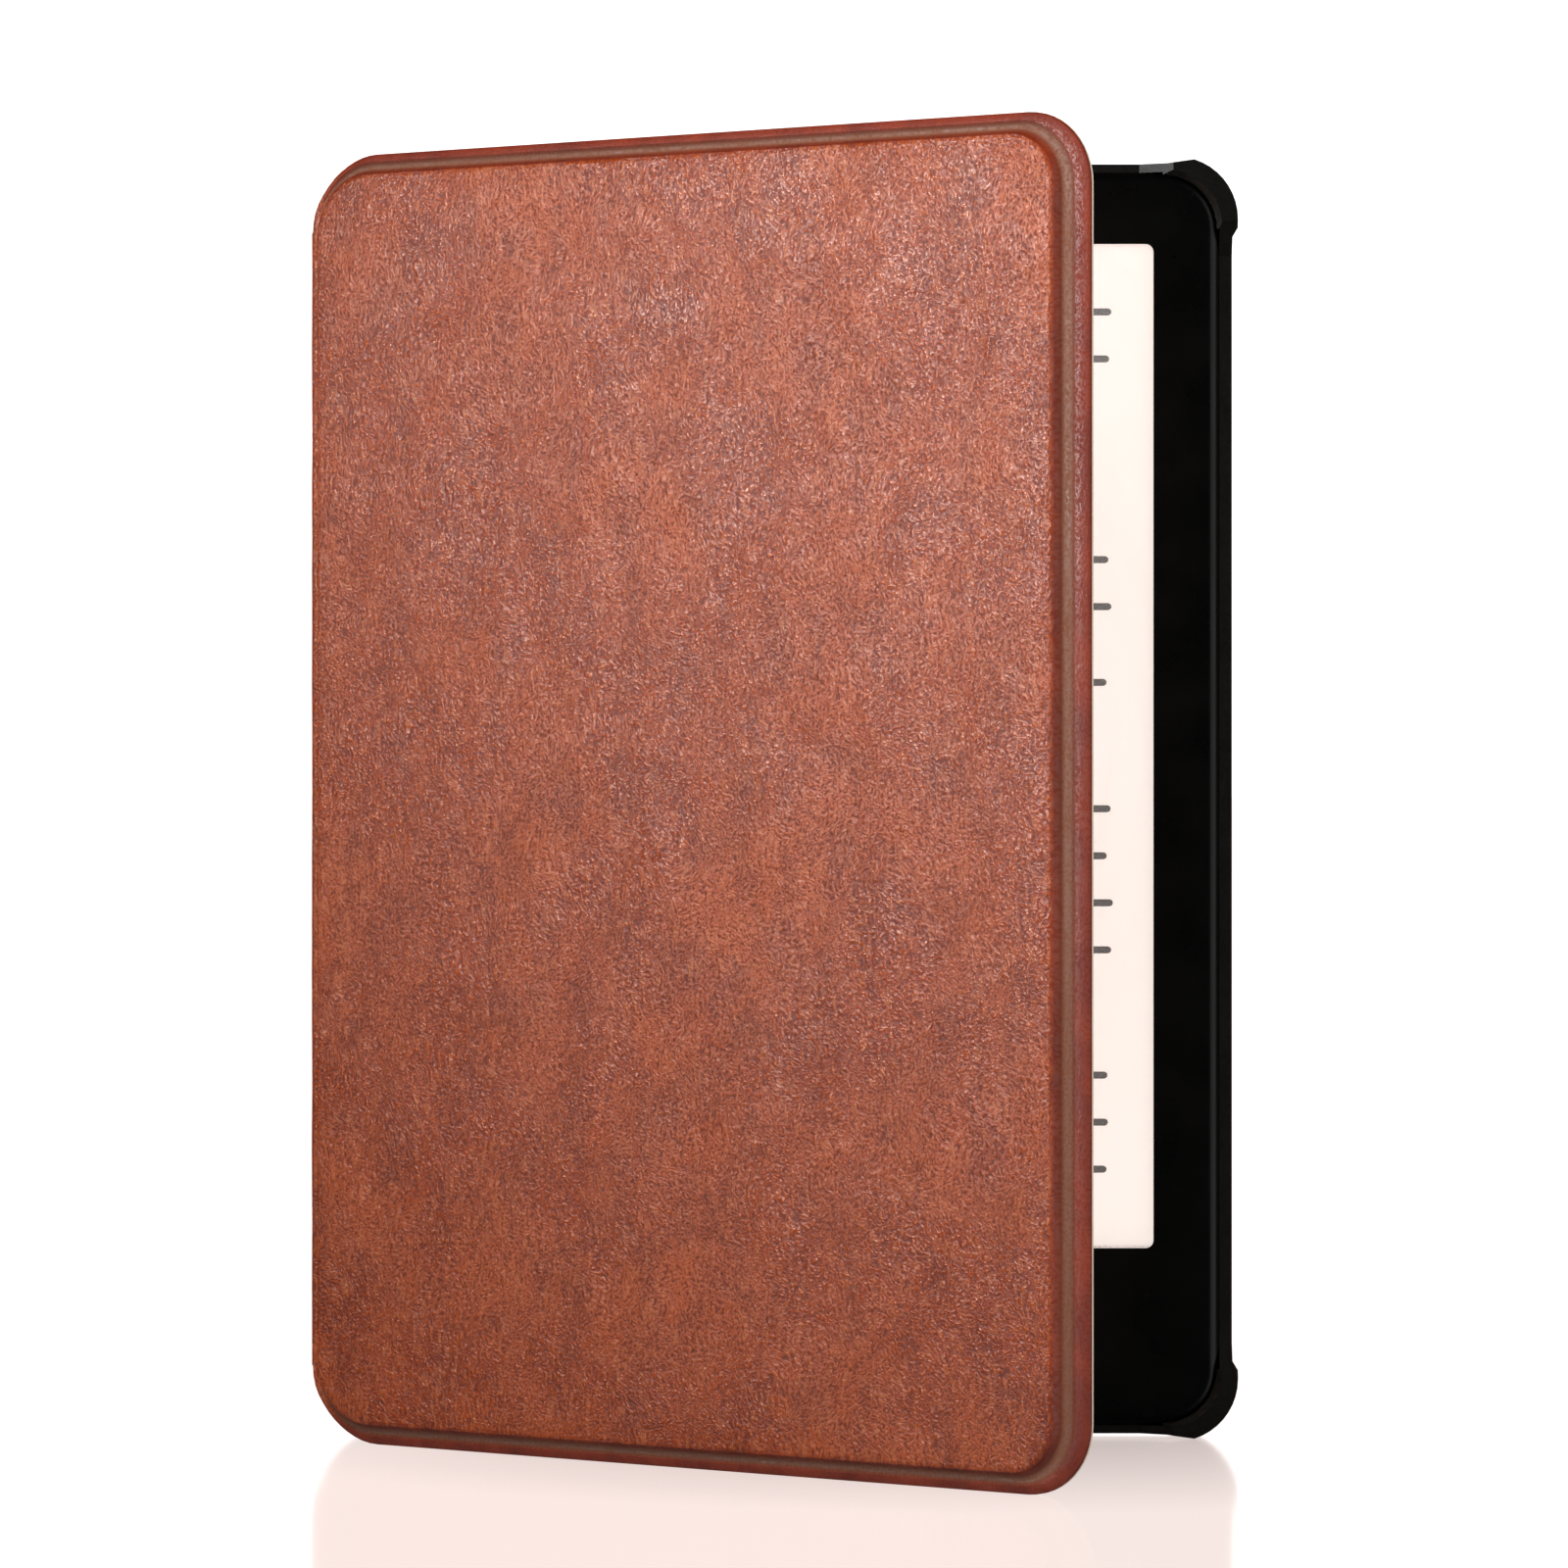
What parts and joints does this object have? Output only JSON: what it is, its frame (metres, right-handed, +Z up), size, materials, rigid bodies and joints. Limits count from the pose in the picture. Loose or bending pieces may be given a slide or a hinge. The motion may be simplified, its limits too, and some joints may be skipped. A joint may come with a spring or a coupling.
{
  "type": "e-reader",
  "caption": "E-reader with a paper-white screen and a black frame, snapped into the hard tray of a brown leather folio whose front cover turns on a soft spine.",
  "frame": {"origin": "middle of the footprint of the case standing on its short edge, on the surface", "axes": "+Z up along the reader's long side, +X to the reader's right, -Y the way the screen faces, +Y the way the leather back faces"},
  "size_m": [0.1288, 0.0884, 0.1778],
  "materials": {
    "housing_plastic": "fine satin grain",
    "bezel_plastic": "smooth satin",
    "tray_plastic": "satin, lightly textured",
    "button_plastic": "polished",
    "light_pipe": "clear, frosted",
    "gasket_rubber": "soft silicone",
    "screen_lens": "etched, low glare",
    "screen_film": "clear film",
    "epaper": "matte, paper white",
    "frame_metal": "stamped sheet",
    "steel": "plated",
    "circuit_board": "solder mask",
    "chip": "moulded epoxy",
    "flex": "polyimide film",
    "battery_foil": "laminated pouch foil",
    "magnet": "nickel plated",
    "leather": "pebbled, semi-gloss",
    "lining": "brushed microfibre",
    "board": "dense grey board"
  },
  "bodies": {
    "reader_case": {"rear_housing": "housing_plastic", "front_bezel": "bezel_plastic", "bezel_gasket": "gasket_rubber", "display_lens": "screen_lens", "touch_sensor": "screen_film", "light_guide": "screen_film", "epaper_panel": "epaper", "led_strip": "flex", "mid_frame": "frame_metal", "frame_screws": "steel", "display_flex": "flex", "usb_c_socket": "steel", "button_switch": "chip", "charge_light_pipe": "light_pipe", "mainboard": "circuit_board", "processor_shield": "steel", "processor_chip": "chip", "memory_chip": "chip", "power_chip": "chip", "wireless_module": "steel", "hall_sensor": "chip", "charge_led": "light_pipe", "battery_connector": "chip", "battery_cell": "battery_foil", "battery_cable": "flex", "wifi_antenna": "flex", "housing_magnets": "magnet", "case_tray": "tray_plastic", "rear_leather": "leather"},
    "spine": {"spine_leather": "leather", "spine_lining": "lining"},
    "front_cover": {"front_leather": "leather", "front_board": "board", "front_lining": "lining", "closure_magnets": "magnet", "sleep_magnet": "magnet"},
    "power_button": {"power_button": "button_plastic"}
  },
  "joints": [
    {"name": "spine_fold", "type": "hinge", "parent": "reader_case", "child": "spine", "pos_m": [-0.0639, 0.04373, 0.0889], "axis": [0, 0, -1], "range_deg": [0, 180]},
    {"name": "cover_fold", "type": "hinge", "parent": "spine", "child": "front_cover", "pos_m": [-0.0639, 0.03053, 0.0889], "axis": [0, 0, -1], "range_deg": [-36, 144]},
    {"name": "power_button_press", "type": "slide", "parent": "reader_case", "child": "power_button", "axis": [0, 0, 1], "range_m": [0, 0.0003], "stiffness_N_per_m": 500}
  ]
}
